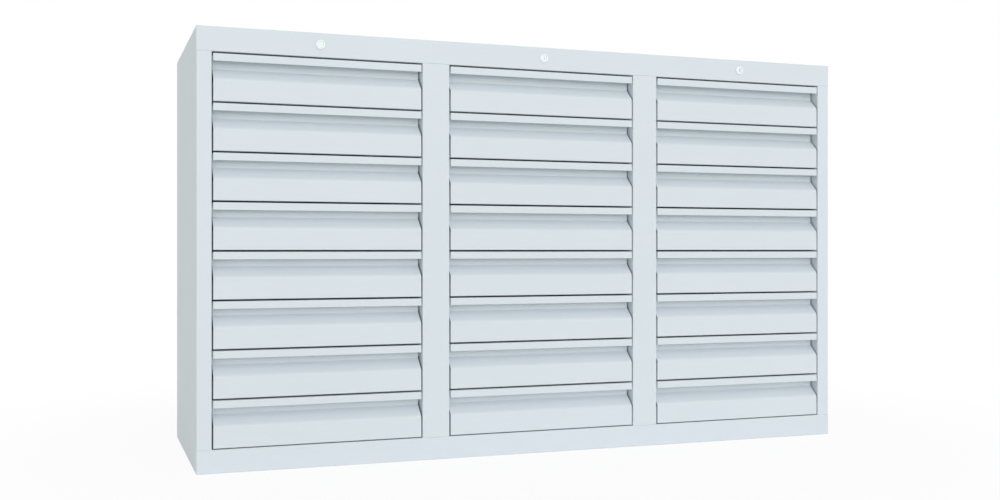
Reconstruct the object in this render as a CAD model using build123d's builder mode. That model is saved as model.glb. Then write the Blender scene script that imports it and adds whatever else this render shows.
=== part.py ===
from build123d import *
from math import radians, sin
import os

# Overall size: the cabinet stands on the floor, centred on the origin, and its front faces -Y
cabinet_width = 1500.0
cabinet_depth = 500.0
cabinet_height = 900.0

# Drawers: columns are named from the left, rows are numbered from the top
column_names = ("left", "centre", "right")
row_count = 8
drawer_travel = 350.0

# Cabinet sheet metal
shell_sheet = 1.2
shell_bend = 1.6
side_stile = 30.0
partition_stile = 60.0
top_rail = 50.0
base_rail = 48.0
rail_return = 20.0
back_flange = 20.0
notch_clearance = 0.2

# Gaps that show round the drawer fronts
side_gap = 3.0
row_gap = 3.5
bottom_gap = 2.0

# Pieces that are pressed, screwed or riveted together within one node
fit_gap = 0.05

# Folded drawer front, measured down from its top edge
drawer_sheet = 1.0
drawer_bend = 2.0
front_end_bend = 0.8
pull_depth = 25.0
lip_height = 15.5
hem_height = 7.0
mouth_height = 14.0
slope_height = 22.5
slope_bend = 10.0
front_upturn = 15.0

# Drawer tray behind the front
tray_side_room = 12.5
tray_back_room = 34.0
tray_lift = 6.0
tray_height = 76.0
flange_width = 9.0

# Channel runners on the uprights, and the nylon glides in them
runner_sheet = 1.5
runner_bend = 2.0
runner_height = 20.0
runner_lip_gap = 1.5
runner_front_gap = 2.0
glide_clearance = 0.3
back_glide_length = 24.0
back_glide_inset = 2.5

# Catch on the back of each tray
catch_sheet = 1.5
catch_bend = 2.0
catch_width = 30.0
catch_reach = 20.5
catch_height = 60.5
catch_leg = 14.5
catch_lip = 13.5

# Locking bar behind each column
bar_sheet = 2.0
bar_width = 25.0
bar_back_gap = 2.0
bar_lift = 10.0
bar_side_gap = 3.0
bar_seat_gap = 0.3
bar_head_height = 18.0
bar_head_wall = 5.0
tooth_width = 28.0
tooth_height = 14.0
tooth_drop = 2.0

# Nylon blocks on the back panel that guide each locking bar, just above two of the catches
guide_height = 14.0
guide_wall = 3.6
guide_gap = 0.4
guide_above_catch = 3.0

# Locks in the top rail
lock_drop = 24.0
lock_face = 19.0
lock_proud = 3.0
lock_edge = 0.8
barrel_diameter = 16.0
barrel_length = 24.0
barrel_gap = 0.2
nut_across_flats = 22.0
nut_thickness = 5.0
plug_diameter = 12.0
plug_recess = 0.4
plug_gap = 0.3
washer_diameter = 15.0
washer_thickness = 2.0
key_slot_length = 7.0
key_slot_width = 1.6
key_slot_depth = 8.0

# Rod from each lock to the crank that lifts its locking bar
lock_turn = 90.0
rod_diameter = 6.0
rod_socket = 10.0
crank_sheet = 3.0
crank_width = 11.0
crank_gap = 2.0
pin_diameter = 4.0
pin_gap = 0.4
pin_past_bar = 2.0
bearing_sheet = 2.0
bearing_width = 24.0
bearing_below_rod = 9.0
bearing_foot = 16.0
bearing_inset = 50.0

# Places of the shell, the columns and the rows
column_count = len(column_names)
half_width = cabinet_width / 2
front_y = -cabinet_depth / 2
back_y = cabinet_depth / 2
rail_back_y = front_y + shell_sheet
back_panel_back_y = back_y - shell_sheet
back_panel_y = back_panel_back_y - shell_sheet
top_rail_z = cabinet_height - top_rail
under_top_z = cabinet_height - shell_sheet
upright_top_z = cabinet_height - shell_bend
all_stiles = 2 * side_stile + (column_count - 1) * partition_stile
opening_width = (cabinet_width - all_stiles) / column_count
column_pitch = opening_width + partition_stile
column_x = [(i - (column_count - 1) / 2) * column_pitch for i in range(column_count)]
row_pitch = (cabinet_height - top_rail - base_rail - bottom_gap) / row_count
row_z = [base_rail + bottom_gap + (row_count - 1 - j) * row_pitch for j in range(row_count)]

# Drawer front: a drawer's heights are above the bottom edge of its front
front_width = opening_width - 2 * side_gap
front_height = row_pitch - row_gap
hem_z = front_height - lip_height + drawer_sheet
inner_bend = drawer_bend - drawer_sheet
kink_z = front_height - lip_height - mouth_height
slope_z = kink_z - slope_height
recess_y = front_y + pull_depth
fold_back_y = recess_y + drawer_sheet

# Drawer tray and its catch
tray_half_width = opening_width / 2 - tray_side_room
tray_back_y = back_y - tray_back_room
tray_top = tray_lift + tray_height
flange_z = tray_top - drawer_sheet
flange_edge = tray_half_width + flange_width
catch_back_y = tray_back_y + catch_reach
catch_lip_z = catch_height - catch_lip
catch_top = catch_height + catch_leg

# Runners and glides
runner_edge = tray_half_width + runner_lip_gap
runner_web = opening_width / 2 - runner_sheet
runner_front_y = fold_back_y + runner_front_gap
runner_z = tray_top - (drawer_sheet + runner_height) / 2
runner_top = runner_z + runner_height
glide_edge = runner_web - 2 * glide_clearance
back_glide_y = tray_back_y - back_glide_inset - back_glide_length
stop_y = back_glide_y - drawer_travel - glide_clearance

# Lock, rod and crank: at rest the crank points down by half of its turn
lock_z = cabinet_height - lock_drop
lock_front_y = front_y - lock_proud
barrel_back_y = front_y + barrel_length
plug_back_y = barrel_back_y + plug_gap + washer_thickness
bar_y = catch_back_y - catch_sheet - bar_back_gap - bar_sheet
crank_y = bar_y - crank_gap - crank_sheet
crank_radius = bar_lift / (2 * sin(radians(lock_turn / 2)))
pin_drop = bar_lift / 2
pin_x = (crank_radius**2 - pin_drop**2) ** 0.5
pin_z = lock_z - pin_drop
bearing_y = tray_back_y - bearing_inset

# Locking bar, beside the catches
bar_left = catch_width / 2 + bar_side_gap
bar_right = bar_left + bar_width
bar_bottom_z = base_rail + bar_seat_gap
bar_top_z = pin_z + bar_head_height / 2
bar_head_left = pin_x - pin_diameter / 2 - pin_gap - bar_head_wall
guided_rows_z = (row_z[1], row_z[-2])


def folded_section(plane, outline, radii, sheet):
    """Section of a folded sheet, which lies on the right hand of its outline."""
    points = [Vector(*point) for point in outline]
    runs = [(end - start).normalized() for start, end in zip(points, points[1:])]
    rights = [Vector(run.Y, -run.X) for run in runs]
    far_points = [points[0] + rights[0] * sheet]
    far_radii = []
    for i, radius in enumerate(radii):
        before, after = rights[i], rights[i + 1]
        far_points.append(points[i + 1] + (before + after) * (sheet / (1 + before.dot(after))))
        turns_right = runs[i].cross(runs[i + 1]).Z < 0
        far_radii.append(radius - sheet if turns_right else radius + sheet)
    far_points.append(points[-1] + rights[-1] * sheet)
    with BuildSketch(plane) as section:
        with BuildLine():
            near = FilletPolyline(*points, radius=radii)
            far = FilletPolyline(*far_points, radius=far_radii)
            Line(near @ 0, far @ 0)
            Line(near @ 1, far @ 1)
        make_face()
    return section.sketch


def block(corner, opposite, mode=Mode.ADD):
    """Box between two opposite corners."""
    size = Vector(*opposite) - Vector(*corner)
    with Locations(Vector(*corner) + size / 2):
        Box(abs(size.X), abs(size.Y), abs(size.Z), mode=mode)


def round_bar(x, z, start_y, end_y, diameter, mode=Mode.ADD):
    """Round bar or hole along Y."""
    with BuildSketch(Plane.XZ.offset(-start_y)) as section:
        with Locations((x, z)):
            Circle(diameter / 2)
    extrude(section.sketch, amount=start_y - end_y, mode=mode)


def plate_area(left, bottom, right, top):
    """Rectangle of a flat plate between two corners."""
    with Locations(((left + right) / 2, (bottom + top) / 2)):
        Rectangle(right - left, top - bottom)


os.makedirs("parts", exist_ok=True)

# Top panel: one sheet with the top rail, its return and the back flange folded down
with BuildPart() as top_panel:
    top_outline = [
        (front_y + rail_return, top_rail_z),
        (front_y, top_rail_z),
        (front_y, cabinet_height),
        (back_y, cabinet_height),
        (back_y, cabinet_height - back_flange),
    ]
    top_section = folded_section(Plane.YZ.offset(-half_width), top_outline, (shell_bend,) * 3, shell_sheet)
    extrude(top_section, amount=cabinet_width)
    # The return stops inside the side panels, which go up behind the rail
    for side in (-1, 1):
        block(
            (side * half_width, rail_back_y, top_rail_z),
            (side * (half_width - shell_sheet), front_y + rail_return, top_rail_z + shell_bend),
            Mode.SUBTRACT,
        )
    for x in column_x:
        round_bar(x, lock_z, front_y, rail_back_y, barrel_diameter + 2 * barrel_gap, Mode.SUBTRACT)

top_panel.part.label = "top_panel"
export_step(top_panel.part, "parts/top_panel.step")

# Base panel: the floor of the cabinet with rails folded down to the ground at front and back
with BuildPart() as base_panel:
    base_outline = [
        (front_y + rail_return, 0),
        (front_y, 0),
        (front_y, base_rail),
        (back_y, base_rail),
        (back_y, 0),
        (back_y - rail_return, 0),
    ]
    base_section = folded_section(Plane.YZ.offset(-half_width), base_outline, (shell_bend,) * 4, shell_sheet)
    extrude(base_section, amount=cabinet_width)
    # Only the rails reach past the outer walls of the side panels
    for side in (-1, 1):
        block(
            (side * half_width, rail_back_y, 0),
            (side * (half_width - shell_sheet), back_panel_back_y, base_rail),
            Mode.SUBTRACT,
        )

base_panel.part.label = "base_panel"
export_step(base_panel.part, "parts/base_panel.step")

# Back panel: a flat sheet inside the back flanges
with BuildPart() as back_panel:
    block(
        (-half_width + shell_bend, back_panel_y, base_rail),
        (half_width - shell_bend, back_panel_back_y, upright_top_z),
    )

back_panel.part.label = "back_panel"
export_step(back_panel.part, "parts/back_panel.step")


def side_panel():
    """Left side panel: outer wall, front stile and inner wall folded from one sheet."""
    outline = [
        (-half_width + side_stile, back_panel_y),
        (-half_width + side_stile, front_y),
        (-half_width, front_y),
        (-half_width, back_y),
        (-half_width + back_flange, back_y),
    ]
    notch_y = front_y + rail_return + notch_clearance
    with BuildPart() as panel:
        section = folded_section(Plane.XY.offset(base_rail), outline, (shell_bend,) * 3, shell_sheet)
        extrude(section, amount=upright_top_z - base_rail)
        # Both walls are cut back to clear the top rail and its return
        block(
            (-half_width, front_y, top_rail_z),
            (-half_width + side_stile, rail_back_y, upright_top_z),
            Mode.SUBTRACT,
        )
        block(
            (-half_width + shell_sheet, front_y, top_rail_z),
            (-half_width + side_stile, notch_y, upright_top_z),
            Mode.SUBTRACT,
        )
        # The back flange ends under the one of the top panel
        block(
            (-half_width, back_panel_back_y, cabinet_height - back_flange),
            (-half_width + back_flange, back_y, upright_top_z),
            Mode.SUBTRACT,
        )
        # The outer wall goes down to the ground between the base rails
        block(
            (-half_width, rail_back_y, 0),
            (-half_width + shell_sheet, back_panel_back_y, base_rail),
        )
    return panel.part


def partition(x):
    """Partition between two columns: a channel that is open to the back."""
    half_stile = partition_stile / 2
    outline = [
        (x + half_stile, back_panel_y),
        (x + half_stile, front_y),
        (x - half_stile, front_y),
        (x - half_stile, back_panel_y),
    ]
    with BuildPart() as panel:
        section = folded_section(Plane.XY.offset(base_rail), outline, (shell_bend,) * 2, shell_sheet)
        extrude(section, amount=upright_top_z - base_rail)
        block(
            (x - half_stile, front_y, top_rail_z),
            (x + half_stile, front_y + rail_return + notch_clearance, upright_top_z),
            Mode.SUBTRACT,
        )
    return panel.part


# Uprights: two side panels and a partition between each pair of columns
with BuildPart() as upright_panels:
    add(side_panel())
    mirror(about=Plane.YZ)
    for x in column_x[1:]:
        add(partition(x - column_pitch / 2))

upright_panels.part.label = "upright_panels"
export_step(upright_panels.part, "parts/upright_panels.step")

# Runners of one drawer, in the drawer's own place: a channel each side, open to the drawer
with BuildPart() as runner_pair:
    for side in (-1, 1):
        runner_outline = [
            (side * runner_edge, runner_top),
            (side * opening_width / 2, runner_top),
            (side * opening_width / 2, runner_z),
            (side * runner_edge, runner_z),
        ]
        runner_section = folded_section(
            Plane.XZ.offset(-tray_back_y), runner_outline[::side], (runner_bend,) * 2, runner_sheet
        )
        extrude(runner_section, amount=tray_back_y - runner_front_y)
        # Nylon glide that carries the flange of the tray and stops its back glide
        block(
            (side * runner_edge, runner_front_y, runner_z + runner_sheet + fit_gap),
            (side * glide_edge, stop_y, flange_z - glide_clearance),
        )

with BuildPart() as cabinet_runners:
    with Locations(*[(x, 0, z) for x in column_x for z in row_z]):
        add(runner_pair.part)

cabinet_runners.part.label = "cabinet_runners"
export_step(cabinet_runners.part, "parts/cabinet_runners.step")

# Lock housing with its nut, in the middle column's place
with BuildPart() as lock_housing:
    round_bar(0, lock_z, lock_front_y, front_y, lock_face)
    fillet(lock_housing.edges().group_by(Axis.Y)[0], lock_edge)
    round_bar(0, lock_z, front_y, barrel_back_y, barrel_diameter)
    round_bar(0, lock_z, lock_front_y, barrel_back_y, plug_diameter + 2 * plug_gap, Mode.SUBTRACT)

with BuildPart() as lock_nut:
    with BuildSketch(Plane.XZ.offset(-rail_back_y)):
        with Locations((0, lock_z)):
            RegularPolygon(nut_across_flats / 2, 6, major_radius=False)
            Circle(barrel_diameter / 2 + fit_gap, mode=Mode.SUBTRACT)
    extrude(amount=-nut_thickness)

# Bearing for the back end of the lock rod, hung from the top panel
with BuildPart() as rod_bearing:
    block(
        (-bearing_width / 2, bearing_y, lock_z - bearing_below_rod),
        (bearing_width / 2, bearing_y + bearing_sheet, under_top_z),
    )
    block(
        (-bearing_width / 2, bearing_y, under_top_z - bearing_sheet),
        (bearing_width / 2, bearing_y + bearing_foot, under_top_z),
    )
    round_bar(0, lock_z, bearing_y, bearing_y + bearing_sheet, rod_diameter + 2 * plug_gap, Mode.SUBTRACT)

# Guide blocks of one locking bar, each with a slot that the bar slides in
with BuildPart() as bar_guides:
    for z in guided_rows_z:
        guide_z = z + catch_top + guide_above_catch
        block(
            (bar_left - guide_gap - guide_wall, bar_y - guide_gap - guide_wall, guide_z),
            (bar_right + guide_gap + guide_wall, back_panel_y, guide_z + guide_height),
        )
        block(
            (bar_left - guide_gap, bar_y - guide_gap, guide_z),
            (bar_right + guide_gap, bar_y + bar_sheet + guide_gap, guide_z + guide_height),
            Mode.SUBTRACT,
        )

with BuildPart() as lock_fittings:
    with Locations(*[(x, 0, 0) for x in column_x]):
        add([lock_housing.part, lock_nut.part, rod_bearing.part, bar_guides.part])

lock_fittings.part.label = "lock_fittings"
export_step(lock_fittings.part, "parts/lock_fittings.step")

# Lock plug, which turns in the housing, with the rod that it drives
with BuildPart() as lock_plug:
    round_bar(0, lock_z, lock_front_y + plug_recess, plug_back_y, plug_diameter)
    round_bar(0, lock_z, barrel_back_y + plug_gap, plug_back_y, washer_diameter)
    with BuildSketch(Plane.XZ.offset(-lock_front_y - plug_recess)):
        with Locations((0, lock_z)):
            SlotOverall(key_slot_length, key_slot_width, rotation=90)
    extrude(amount=-key_slot_depth, mode=Mode.SUBTRACT)
    round_bar(
        0, lock_z, plug_back_y - rod_socket, plug_back_y, rod_diameter + 2 * fit_gap, Mode.SUBTRACT
    )

with BuildPart() as lock_rod:
    round_bar(0, lock_z, plug_back_y - rod_socket + fit_gap, crank_y + crank_sheet, rod_diameter)

with BuildPart() as lock_crank:
    with BuildSketch(Plane.XZ.offset(-crank_y)):
        with Locations((pin_x / 2, (lock_z + pin_z) / 2)):
            SlotCenterToCenter(crank_radius, crank_width, rotation=-lock_turn / 2)
        with Locations((0, lock_z)):
            Circle(rod_diameter / 2 + fit_gap, mode=Mode.SUBTRACT)
        with Locations((pin_x, pin_z)):
            Circle(pin_diameter / 2 + fit_gap, mode=Mode.SUBTRACT)
    extrude(amount=-crank_sheet)

with BuildPart() as crank_pin:
    round_bar(pin_x, pin_z, crank_y, bar_y + bar_sheet + pin_past_bar, pin_diameter)

# Locking bar: a strip with welded teeth that rise behind the catches when the crank lifts its head
with BuildPart() as comb:
    weld_x = bar_left - fit_gap
    with BuildSketch(Plane.XZ.offset(-bar_y)):
        plate_area(bar_left, bar_bottom_z, bar_right, bar_top_z)
        plate_area(bar_head_left, bar_top_z - bar_head_height, weld_x, bar_top_z)
        for z in row_z:
            tooth_top = z + catch_lip_z - tooth_drop
            plate_area(bar_left - tooth_width, tooth_top - tooth_height, weld_x, tooth_top)
        with Locations(((pin_x + crank_radius) / 2, pin_z)):
            SlotCenterToCenter(crank_radius - pin_x, pin_diameter + 2 * pin_gap, mode=Mode.SUBTRACT)
    extrude(amount=-bar_sheet)

for name, x in zip(column_names, column_x):
    with BuildPart() as turning_lock:
        with Locations((x, 0, 0)):
            add([lock_plug.part, lock_rod.part, lock_crank.part, crank_pin.part])
    turning_lock.part.label = f"lock_plug_{name}"
    export_step(turning_lock.part, f"parts/lock_plug_{name}.step")

    with BuildPart() as locking_bar:
        with Locations((x, 0, 0)):
            add(comb.part)
    locking_bar.part.label = f"locking_bar_{name}"
    export_step(locking_bar.part, f"parts/locking_bar_{name}.step")

# Drawer front: bottom return, flat face, slope into the finger recess, then up and over to the lip
with BuildPart() as front_pressing:
    front_outline = [
        (fold_back_y, front_upturn),
        (fold_back_y, 0),
        (front_y, 0),
        (front_y, slope_z),
        (recess_y, kink_z),
        (recess_y, front_height - drawer_sheet),
        (front_y + drawer_sheet, front_height - drawer_sheet),
        (front_y + drawer_sheet, hem_z),
    ]
    front_radii = (drawer_bend, drawer_bend, slope_bend, inner_bend, inner_bend, inner_bend)
    front_plane = Plane.YZ.offset(-front_width / 2)
    extrude(folded_section(front_plane, front_outline, front_radii, drawer_sheet), amount=front_width)
    # The lip's edge is hemmed: folded back on itself
    with BuildSketch(front_plane):
        with Locations((front_y + drawer_sheet, hem_z)):
            Circle(drawer_sheet)
            Rectangle(drawer_sheet, hem_height - drawer_sheet, align=(Align.MIN, Align.MIN))
    extrude(amount=front_width)
    # Ends folded back behind the flat face
    for side in (-1, 1):
        block(
            (side * front_width / 2, front_y + drawer_sheet, drawer_sheet),
            (side * (front_width / 2 - drawer_sheet), recess_y, slope_z - slope_bend / 2),
        )
    face_ends = front_pressing.edges().filter_by(Axis.Z).group_by(Axis.Y)[0].sort_by(SortBy.LENGTH)[-2:]
    fillet(face_ends, front_end_bend)

# Drawer tray: two side profiles with a flange at the top, and a bottom and two end walls between them
with BuildPart() as tray:
    for side in (-1, 1):
        side_outline = [
            (side * flange_edge, flange_z),
            (side * tray_half_width, flange_z),
            (side * tray_half_width, tray_lift),
        ]
        side_section = folded_section(
            Plane.XZ.offset(-tray_back_y), side_outline[::side], (inner_bend,), drawer_sheet
        )
        extrude(side_section, amount=tray_back_y - fold_back_y)
    bottom_half_width = tray_half_width - drawer_sheet - fit_gap
    block(
        (-bottom_half_width, fold_back_y, tray_lift),
        (bottom_half_width, tray_back_y, tray_lift + drawer_sheet),
    )
    for end_y in (fold_back_y, tray_back_y - drawer_sheet):
        block(
            (-bottom_half_width, end_y, tray_lift + drawer_sheet + fit_gap),
            (bottom_half_width, end_y + drawer_sheet, tray_top),
        )

# Nylon glides round the back ends of the flanges, running inside the channels
with BuildPart() as back_glides:
    for side in (-1, 1):
        block(
            (side * (tray_half_width + fit_gap), back_glide_y, runner_z + runner_sheet + glide_clearance),
            (
                side * glide_edge,
                back_glide_y + back_glide_length,
                runner_top - runner_sheet - glide_clearance,
            ),
        )
        block(
            (side * tray_half_width, back_glide_y, flange_z - fit_gap),
            (side * (flange_edge + fit_gap), back_glide_y + back_glide_length, tray_top + fit_gap),
            Mode.SUBTRACT,
        )
        # Relief for the bend between the side and its flange
        block(
            (side * tray_half_width, back_glide_y, flange_z - inner_bend - fit_gap),
            (side * (tray_half_width + inner_bend + fit_gap), back_glide_y + back_glide_length, flange_z),
            Mode.SUBTRACT,
        )

# Catch behind the tray: up the back wall, back over the locking bar's tooth and down behind it
with BuildPart() as catch:
    wall_y = tray_back_y + fit_gap
    catch_outline = [
        (wall_y, catch_top),
        (wall_y, catch_height - catch_sheet),
        (catch_back_y - catch_sheet, catch_height - catch_sheet),
        (catch_back_y - catch_sheet, catch_lip_z),
    ]
    catch_radii = (catch_bend, catch_bend - catch_sheet)
    catch_section = folded_section(
        Plane.YZ.offset(-catch_width / 2), catch_outline[::-1], catch_radii[::-1], catch_sheet
    )
    extrude(catch_section, amount=catch_width)

for name, x in zip(column_names, column_x):
    for j, z in enumerate(row_z):
        with BuildPart() as drawer_front:
            with Locations((x, 0, z)):
                add(front_pressing.part)
        drawer_front.part.label = f"drawer_front_{name}_{j + 1}"
        export_step(drawer_front.part, f"parts/drawer_front_{name}_{j + 1}.step")

        with BuildPart() as drawer_box:
            with Locations((x, 0, z)):
                add([tray.part, back_glides.part, catch.part])
        drawer_box.part.label = f"drawer_box_{name}_{j + 1}"
        export_step(drawer_box.part, f"parts/drawer_box_{name}_{j + 1}.step")
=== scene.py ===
import math
from collections import namedtuple

import bpy
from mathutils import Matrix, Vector

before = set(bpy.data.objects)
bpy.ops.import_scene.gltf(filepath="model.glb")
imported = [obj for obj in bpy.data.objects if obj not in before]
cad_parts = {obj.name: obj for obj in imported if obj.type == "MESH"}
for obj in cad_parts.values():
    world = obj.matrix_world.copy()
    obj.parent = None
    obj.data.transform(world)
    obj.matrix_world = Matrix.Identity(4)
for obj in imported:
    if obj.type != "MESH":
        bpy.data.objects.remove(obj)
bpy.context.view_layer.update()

# Camera, solved from the vanishing lines of the cabinet's outline in the photograph
CAMERA_PLACE = (-0.9635, -2.6112, 0.450)
CAMERA_TURN = (90.0, 0.0, -20.0)
CAMERA_LENS = 41.27
CAMERA_SENSOR = 36.0

# Light: an even dome, a level fill from in front, and a cooler key from above on the right
WHITE = (1.0, 1.0, 1.0, 1.0)
DOME_COLOUR = (0.987, 1.0, 0.924, 1.0)
DOME_STRENGTH = 0.628
FILL_COLOUR = (1.0, 0.926, 0.85)
FILL_STRENGTH = 1.26
FILL_SPREAD = 40.0
FILL_FROM = (-0.15, -1.0, 0.03)
KEY_COLOUR = (0.85, 0.85, 1.0)
KEY_STRENGTH = 0.62
KEY_SPREAD = 50.0
KEY_FROM = (0.25, -1.0, 0.70)

# Floor: near the cabinet it keeps the shadow, and further out it goes to plain white
FLOOR_REACH = 30.0
FLOOR_COLOUR = (0.93, 0.93, 0.93, 1.0)
FLOOR_ROUGHNESS = 0.9
FLOOR_SPECULAR = 0.1
FLOOR_NEAR, FLOOR_FAR = 0.8, 1.6
FLOOR_WHITENESS = 0.90

# Linear colours of the finishes
PAINT = (0.684, 0.754, 0.814)
TRAY_PAINT = (0.640, 0.705, 0.765)
ZINC = (0.62, 0.64, 0.66)
CHROME = (0.94, 0.995, 0.98)
PLUG_CHROME = (0.93, 0.985, 0.965)
NYLON = (0.72, 0.71, 0.66)

# Textures: features per metre, finer or coarser along each axis by stretch, and what the middle
# of the noise runs between, as a factor on the colour or as a roughness
MIDDLE = (0.3, 0.7)
WIDE_MIDDLE = (0.25, 0.75)
ALONG_DEPTH = (1, 0.02, 1)
COAT_TONE = {"scale": 2.2, "detail": 3.0, "low": 0.988, "high": 1.012}
COAT_SPECKLE = {"scale": 900.0, "detail": 1.0, "low": 0.985, "high": 1.015, "span": WIDE_MIDDLE}
COAT_GLOSS = {"scale": 14.0, "detail": 3.0, "low": 0.46, "high": 0.54}
COAT_PEEL = {"scale": 420.0}
COAT_SPECULAR = 0.20
ZINC_CELLS = 160.0
ZINC_CELL_SPAN = (0.0, 0.8)
ZINC_CELL_TONE = (0.95, 1.03)
ZINC_LINES = {"scale": 700.0, "low": 0.94, "high": 1.04, "stretch": ALONG_DEPTH}
ZINC_GLOSS = {"scale": 60.0, "detail": 4.0, "low": 0.30, "high": 0.44}
ZINC_SCRATCHES = {"scale": 900.0, "stretch": ALONG_DEPTH}
NYLON_FLOW = {"scale": 90.0, "detail": 3.0, "low": 0.95, "high": 1.04, "stretch": (1, 0.3, 1)}
NYLON_GRAIN = {"scale": 1500.0, "detail": 1.0}
NYLON_GLOSS = (0.42, 0.52)
CHROME_HAZE = {"scale": 260.0, "detail": 3.0, "low": 0.98, "high": 1.0}
CHROME_GLOSS = {"scale": 500.0, "low": 0.08, "high": 0.14}
CHROME_GRAIN = {"scale": 1800.0, "detail": 1.0}

# Bumps: strength, and height in metres
COAT_BUMP = (0.3, 0.00012)
ZINC_BUMP = (0.15, 0.0001)
FITTING_BUMP = (0.05, 0.00005)
PLUG_BUMP = (0.08, 0.00008)

# Places that tell the pieces of one node apart, in metres: side is the distance from the middle
# of a column, depth is along Y, and height is above the row line below
COLUMN_PITCH = 0.5
ROW_PITCH = 0.1
BACK_GLIDE = {"side": (0.20755, 0.2179), "depth": (0.1895, 0.2135), "height": (0.0233, 0.0397)}
FRONT_GLIDE = {"side": (0.2090, 0.2179), "depth": (-0.2220, -0.1608), "height": (0.02305, 0.0307)}
GLIDE_MARGIN = 0.00002
CATCH_FRONT = 0.21603
FITTINGS_FRONT, FITTINGS_BACK = -0.2, 0.2

# Sockets of a Mix node by its kind: the first value, the second value and the result
MIX_SOCKETS = {"RGBA": (6, 7, 2), "FLOAT": (2, 3, 0)}

Finish = namedtuple("Finish", "colour gloss height")


def new_material(name):
    """A material; returns it, its tree and its Principled shader."""
    material = bpy.data.materials.new(name)
    material.use_nodes = True
    tree = material.node_tree
    return material, tree, tree.nodes["Principled BSDF"]


def add_node(tree, kind, values=(), **settings):
    """A shader node with its settings, and with values for its inputs by name."""
    node = tree.nodes.new(kind)
    for key, value in settings.items():
        setattr(node, key, value)
    for key, value in dict(values).items():
        node.inputs[key].default_value = value
    return node


def feed(tree, socket, value):
    """Give an input a link if the value is a socket, or else the value itself."""
    if isinstance(value, bpy.types.NodeSocket):
        tree.links.new(value, socket)
    else:
        socket.default_value = value


def maths(tree, operation, *values):
    """A Math node on sockets or numbers."""
    node = add_node(tree, "ShaderNodeMath", operation=operation)
    for socket, value in zip(node.inputs, values):
        feed(tree, socket, value)
    return node.outputs["Value"]


def mixed(tree, mask, first, second, kind="RGBA"):
    """First where the mask is 0 and second where it is 1."""
    node = add_node(tree, "ShaderNodeMix", data_type=kind)
    first_socket, second_socket, result = MIX_SOCKETS[kind]
    tree.links.new(mask, node.inputs["Factor"])
    feed(tree, node.inputs[first_socket], first)
    feed(tree, node.inputs[second_socket], second)
    return node.outputs[result]


def overlaid(tree, value, layers, kind="RGBA"):
    """A value with others laid over it in turn, each where its mask is 1."""
    for mask, top in layers:
        value = mixed(tree, mask, value, top, kind)
    return value


def object_place(tree):
    """The object's own coordinates, in metres."""
    return add_node(tree, "ShaderNodeTexCoord").outputs["Object"]


def along(tree, place, axis):
    """One coordinate of a place."""
    parts = add_node(tree, "ShaderNodeSeparateXYZ")
    tree.links.new(place, parts.inputs["Vector"])
    return parts.outputs[axis]


def noise(tree, place, scale, detail=2.0, stretch=(1, 1, 1)):
    """Noise with scale in features per metre, finer or coarser along each axis by stretch."""
    mapping = add_node(tree, "ShaderNodeMapping", {"Scale": stretch})
    tree.links.new(place, mapping.inputs["Vector"])
    node = add_node(tree, "ShaderNodeTexNoise", {"Scale": scale, "Detail": detail})
    tree.links.new(mapping.outputs["Vector"], node.inputs["Vector"])
    return node.outputs["Fac"]


def ramp(tree, factor, span, low, high):
    """Map a span of numbers to low and high."""
    limits = {"From Min": span[0], "From Max": span[1], "To Min": low, "To Max": high}
    node = add_node(tree, "ShaderNodeMapRange", limits)
    tree.links.new(factor, node.inputs["Value"])
    return node.outputs["Result"]


def varied(tree, place, low, high, span=MIDDLE, **texture):
    """Noise that runs from low to high."""
    return ramp(tree, noise(tree, place, **texture), span, low, high)


def scaled_colour(tree, colour, factor):
    """A colour made lighter or darker by a factor."""
    node = add_node(tree, "ShaderNodeVectorMath", operation="SCALE")
    node.inputs["Vector"].default_value = colour
    tree.links.new(factor, node.inputs["Scale"])
    return node.outputs["Vector"]


def powder_finish(tree, place, colour):
    """Powder coat: broad tone and fine speckle, over a faint orange peel."""
    tone = varied(tree, place, **COAT_TONE)
    speckle = varied(tree, place, **COAT_SPECKLE)
    coat = scaled_colour(tree, colour, maths(tree, "MULTIPLY", tone, speckle))
    return Finish(coat, varied(tree, place, **COAT_GLOSS), noise(tree, place, **COAT_PEEL))


def zinc_finish(tree, place):
    """Zinc-plated steel strip: faint spangle over lines drawn along the strip."""
    cells = add_node(tree, "ShaderNodeTexVoronoi", {"Scale": ZINC_CELLS})
    tree.links.new(place, cells.inputs["Vector"])
    spangle = ramp(tree, cells.outputs["Distance"], ZINC_CELL_SPAN, *ZINC_CELL_TONE)
    lines = varied(tree, place, **ZINC_LINES)
    metal = scaled_colour(tree, ZINC, maths(tree, "MULTIPLY", spangle, lines))
    return Finish(metal, varied(tree, place, **ZINC_GLOSS), noise(tree, place, **ZINC_SCRATCHES))


def nylon_finish(tree, place):
    """Moulded nylon: milky, with faint flow marks."""
    flow = varied(tree, place, **NYLON_FLOW)
    grain = noise(tree, place, **NYLON_GRAIN)
    return Finish(scaled_colour(tree, NYLON, flow), ramp(tree, grain, MIDDLE, *NYLON_GLOSS), grain)


def chrome_finish(tree, place, colour):
    """Chrome plate over a turned part, with a fine satin."""
    haze = varied(tree, place, **CHROME_HAZE)
    gloss = varied(tree, place, **CHROME_GLOSS)
    return Finish(scaled_colour(tree, colour, haze), gloss, noise(tree, place, **CHROME_GRAIN))


def in_glide(tree, place, box):
    """1 inside a box that repeats with the columns and rows, else 0."""
    half = COLUMN_PITCH / 2
    places = {
        "side": maths(tree, "ABSOLUTE", maths(tree, "WRAP", along(tree, place, "X"), half, -half)),
        "depth": along(tree, place, "Y"),
        "height": maths(tree, "WRAP", along(tree, place, "Z"), ROW_PITCH, 0.0),
    }
    mask = 1.0
    for axis, (low, high) in box.items():
        above = maths(tree, "GREATER_THAN", places[axis], low - GLIDE_MARGIN)
        below = maths(tree, "LESS_THAN", places[axis], high + GLIDE_MARGIN)
        mask = maths(tree, "MULTIPLY", maths(tree, "MULTIPLY", above, below), mask)
    return mask


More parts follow.
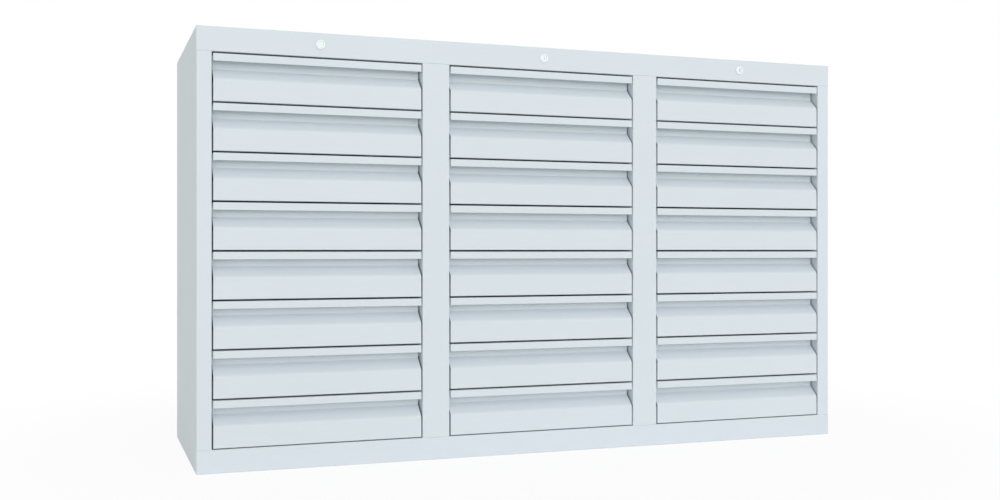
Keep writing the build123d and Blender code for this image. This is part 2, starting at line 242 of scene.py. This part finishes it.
def dress(tree, shader, base, layers=()):
    """Give a shader a finish, with others laid over it where their masks are 1."""
    colour = overlaid(tree, base.colour, [(mask, top.colour) for mask, top in layers])
    gloss = overlaid(tree, base.gloss, [(mask, top.gloss) for mask, top in layers], "FLOAT")
    tree.links.new(colour, shader.inputs["Base Color"])
    tree.links.new(gloss, shader.inputs["Roughness"])


def bumped(tree, shader, height, bump):
    """Give a shader a bump from a height."""
    strength, distance = bump
    node = add_node(tree, "ShaderNodeBump", {"Strength": strength, "Distance": distance})
    tree.links.new(height, node.inputs["Height"])
    tree.links.new(node.outputs["Normal"], shader.inputs["Normal"])


def painted(name):
    """Powder-coated sheet steel."""
    material, tree, shader = new_material(name)
    coat = powder_finish(tree, object_place(tree), PAINT)
    dress(tree, shader, coat)
    bumped(tree, shader, coat.height, COAT_BUMP)
    shader.inputs["Specular IOR Level"].default_value = COAT_SPECULAR
    return material


def tray_material():
    """Powder-coated tray, with white nylon glides and a zinc-plated catch."""
    material, tree, shader = new_material("tray_paint")
    place = object_place(tree)
    glide = in_glide(tree, place, BACK_GLIDE)
    catch = maths(tree, "GREATER_THAN", along(tree, place, "Y"), CATCH_FRONT)
    coat = powder_finish(tree, place, TRAY_PAINT)
    layers = [(glide, nylon_finish(tree, place)), (catch, zinc_finish(tree, place))]
    dress(tree, shader, coat, layers)
    tree.links.new(catch, shader.inputs["Metallic"])
    bumped(tree, shader, coat.height, COAT_BUMP)
    shader.inputs["Specular IOR Level"].default_value = COAT_SPECULAR
    return material


def runner_material():
    """Zinc-plated channels with white nylon glides in their front ends."""
    material, tree, shader = new_material("runner_steel")
    place = object_place(tree)
    glide = in_glide(tree, place, FRONT_GLIDE)
    zinc = zinc_finish(tree, place)
    nylon = nylon_finish(tree, place)
    dress(tree, shader, zinc, [(glide, nylon)])
    tree.links.new(maths(tree, "SUBTRACT", 1.0, glide), shader.inputs["Metallic"])
    bumped(tree, shader, mixed(tree, glide, zinc.height, nylon.height, "FLOAT"), ZINC_BUMP)
    return material


def bar_material():
    """Zinc-plated steel all over."""
    material, tree, shader = new_material("bar_steel")
    zinc = zinc_finish(tree, object_place(tree))
    dress(tree, shader, zinc)
    shader.inputs["Metallic"].default_value = 1.0
    bumped(tree, shader, zinc.height, ZINC_BUMP)
    return material


def fitting_material():
    """Chrome lock housings in front, white nylon bar guides at the back, zinc-plated bearings between."""
    material, tree, shader = new_material("lock_fittings")
    place = object_place(tree)
    depth = along(tree, place, "Y")
    front = maths(tree, "LESS_THAN", depth, FITTINGS_FRONT)
    back = maths(tree, "GREATER_THAN", depth, FITTINGS_BACK)
    chrome = chrome_finish(tree, place, CHROME)
    dress(tree, shader, zinc_finish(tree, place), [(front, chrome), (back, nylon_finish(tree, place))])
    tree.links.new(maths(tree, "SUBTRACT", 1.0, back), shader.inputs["Metallic"])
    bumped(tree, shader, chrome.height, FITTING_BUMP)
    return material


def plug_material():
    """Satin chrome lock plug in front, zinc-plated rod and crank behind."""
    material, tree, shader = new_material("lock_plug")
    place = object_place(tree)
    front = maths(tree, "LESS_THAN", along(tree, place, "Y"), FITTINGS_FRONT)
    zinc = zinc_finish(tree, place)
    chrome = chrome_finish(tree, place, PLUG_CHROME)
    dress(tree, shader, zinc, [(front, chrome)])
    shader.inputs["Metallic"].default_value = 1.0
    bumped(tree, shader, mixed(tree, front, zinc.height, chrome.height, "FLOAT"), PLUG_BUMP)
    return material


def dress_cabinet():
    """Give each node the material that belongs to the start of its name."""
    cabinet_paint = painted("cabinet_paint")
    material_of = {
        "top_panel": cabinet_paint,
        "base_panel": cabinet_paint,
        "back_panel": cabinet_paint,
        "upright_panels": cabinet_paint,
        "cabinet_runners": runner_material(),
        "lock_fittings": fitting_material(),
        "lock_plug": plug_material(),
        "locking_bar": bar_material(),
        "drawer_front": painted("front_paint"),
        "drawer_box": tray_material(),
    }
    for name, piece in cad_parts.items():
        start = next(start for start in material_of if name.startswith(start))
        piece.data.materials.clear()
        piece.data.materials.append(material_of[start])


def seen_or_reflected(tree):
    """1 for camera, glossy and transmission rays, else 0."""
    path = add_node(tree, "ShaderNodeLightPath")
    seen = maths(tree, "MAXIMUM", path.outputs["Is Camera Ray"], path.outputs["Is Glossy Ray"])
    return maths(tree, "MAXIMUM", seen, path.outputs["Is Transmission Ray"])


def pale_floor():
    """A large white floor that keeps a soft shadow near the cabinet."""
    mesh = bpy.data.meshes.new("floor")
    corners = [(-1, -1, 0), (1, -1, 0), (1, 1, 0), (-1, 1, 0)]
    mesh.from_pydata([Vector(corner) * FLOOR_REACH for corner in corners], [], [(0, 1, 2, 3)])
    floor = bpy.data.objects.new("floor", mesh)
    bpy.context.scene.collection.objects.link(floor)
    material, tree, shader = new_material("floor_white")
    shader.inputs["Roughness"].default_value = FLOOR_ROUGHNESS
    shader.inputs["Specular IOR Level"].default_value = FLOOR_SPECULAR
    shader.inputs["Base Color"].default_value = FLOOR_COLOUR
    distance = add_node(tree, "ShaderNodeVectorMath", operation="LENGTH")
    tree.links.new(object_place(tree), distance.inputs["Vector"])
    span = (FLOOR_NEAR, FLOOR_FAR)
    whiteness = ramp(tree, distance.outputs["Value"], span, FLOOR_WHITENESS, 1.0)
    mix = add_node(tree, "ShaderNodeMixShader")
    tree.links.new(maths(tree, "MULTIPLY", seen_or_reflected(tree), whiteness), mix.inputs["Fac"])
    tree.links.new(shader.outputs["BSDF"], mix.inputs[1])
    tree.links.new(add_node(tree, "ShaderNodeEmission").outputs["Emission"], mix.inputs[2])
    tree.links.new(mix.outputs["Shader"], tree.nodes["Material Output"].inputs["Surface"])
    mesh.materials.append(material)


def white_world():
    """White where it is seen or reflected, and an even dome of light for the rest."""
    world = bpy.data.worlds.new("studio")
    bpy.context.scene.world = world
    world.use_nodes = True
    tree = world.node_tree
    dome = tree.nodes["Background"]
    dome.inputs["Color"].default_value = DOME_COLOUR
    dome.inputs["Strength"].default_value = DOME_STRENGTH
    white = add_node(tree, "ShaderNodeBackground", {"Color": WHITE, "Strength": 1.0})
    mix = add_node(tree, "ShaderNodeMixShader")
    tree.links.new(seen_or_reflected(tree), mix.inputs["Fac"])
    tree.links.new(dome.outputs["Background"], mix.inputs[1])
    tree.links.new(white.outputs["Background"], mix.inputs[2])
    tree.links.new(mix.outputs["Shader"], tree.nodes["World Output"].inputs["Surface"])


def wide_sun(name, comes_from, spread, strength, colour):
    """A soft even lamp that shines from one side, as wide as spread in degrees."""
    data = bpy.data.lights.new(name, "SUN")
    data.energy = strength
    data.angle = math.radians(spread)
    data.color = colour
    lamp = bpy.data.objects.new(name, data)
    lamp.rotation_euler = Vector(comes_from).to_track_quat("Z", "Y").to_euler()
    lamp.visible_glossy = False
    bpy.context.scene.collection.objects.link(lamp)


def photo_camera():
    """The camera at the photograph's place."""
    data = bpy.data.cameras.new("camera")
    data.lens = CAMERA_LENS
    data.sensor_width = CAMERA_SENSOR
    camera = bpy.data.objects.new("camera", data)
    camera.location = CAMERA_PLACE
    camera.rotation_euler = [math.radians(angle) for angle in CAMERA_TURN]
    bpy.context.scene.collection.objects.link(camera)
    bpy.context.scene.camera = camera


dress_cabinet()
photo_camera()
pale_floor()
white_world()
wide_sun("fill", FILL_FROM, FILL_SPREAD, FILL_STRENGTH, FILL_COLOUR)
wide_sun("key", KEY_FROM, KEY_SPREAD, KEY_STRENGTH, KEY_COLOUR)
bpy.context.scene.view_settings.view_transform = "Standard"
